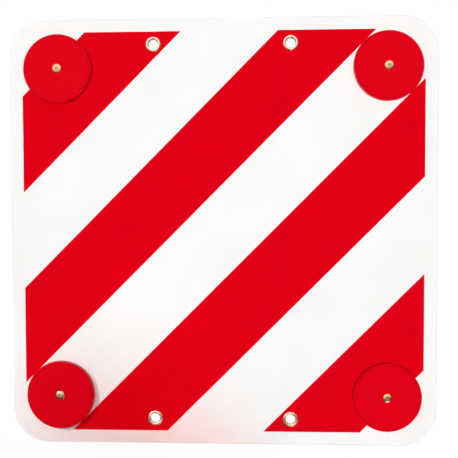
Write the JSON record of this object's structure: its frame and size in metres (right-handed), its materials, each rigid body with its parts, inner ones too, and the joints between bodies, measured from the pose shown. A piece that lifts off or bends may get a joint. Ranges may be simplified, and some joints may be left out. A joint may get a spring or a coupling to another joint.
{
  "type": "overhanging load sign",
  "caption": "Square aluminium warning plate with diagonal red and white stripes, riveted round reflectors and eyelets for tying it to a load that sticks out behind a vehicle.",
  "frame": {"origin": "on the ground, below the middle of the square sheet, with the sign lying on its back on the ends of its rivets", "axes": "+X to the sign's right and +Y to its top edge as a driver behind reads it, +Z out of its striped face"},
  "size_m": [0.5, 0.5, 0.0152],
  "materials": {
    "plate": "mill finish rolled sheet",
    "white_film": "satin white retroreflective film",
    "red_print": "transparent red print on the film",
    "eyelet": "bright pale brass, pressed and rolled",
    "reflector_lens": "moulded red acrylic, smooth in front, prisms behind",
    "reflector_base": "moulded, fine grain",
    "rivet": "bright pale metal, upset",
    "rivet_mandrel": "plain drawn wire with a rough broken end"
  },
  "bodies": {
    "root": {"plate": "plate", "white_film": "white_film", "red_stripe_upper_left_1": "red_print", "red_stripe_upper_left_2": "red_print", "red_stripe_lower_right_1": "red_print", "red_stripe_lower_right_2": "red_print", "eyelet_upper_left": "eyelet", "eyelet_upper_right": "eyelet", "eyelet_lower_left": "eyelet", "eyelet_lower_right": "eyelet", "eyelet_washer_upper_left": "eyelet", "eyelet_washer_upper_right": "eyelet", "eyelet_washer_lower_left": "eyelet", "eyelet_washer_lower_right": "eyelet", "reflector_lens_upper_left": "reflector_lens", "reflector_lens_upper_right": "reflector_lens", "reflector_lens_lower_left": "reflector_lens", "reflector_lens_lower_right": "reflector_lens", "reflector_base_upper_left": "reflector_base", "reflector_base_upper_right": "reflector_base", "reflector_base_lower_left": "reflector_base", "reflector_base_lower_right": "reflector_base", "rivet_upper_left": "rivet", "rivet_upper_right": "rivet", "rivet_lower_left": "rivet", "rivet_lower_right": "rivet", "rivet_mandrel_upper_left": "rivet_mandrel", "rivet_mandrel_upper_right": "rivet_mandrel", "rivet_mandrel_lower_left": "rivet_mandrel", "rivet_mandrel_lower_right": "rivet_mandrel"}
  },
  "joints": []
}
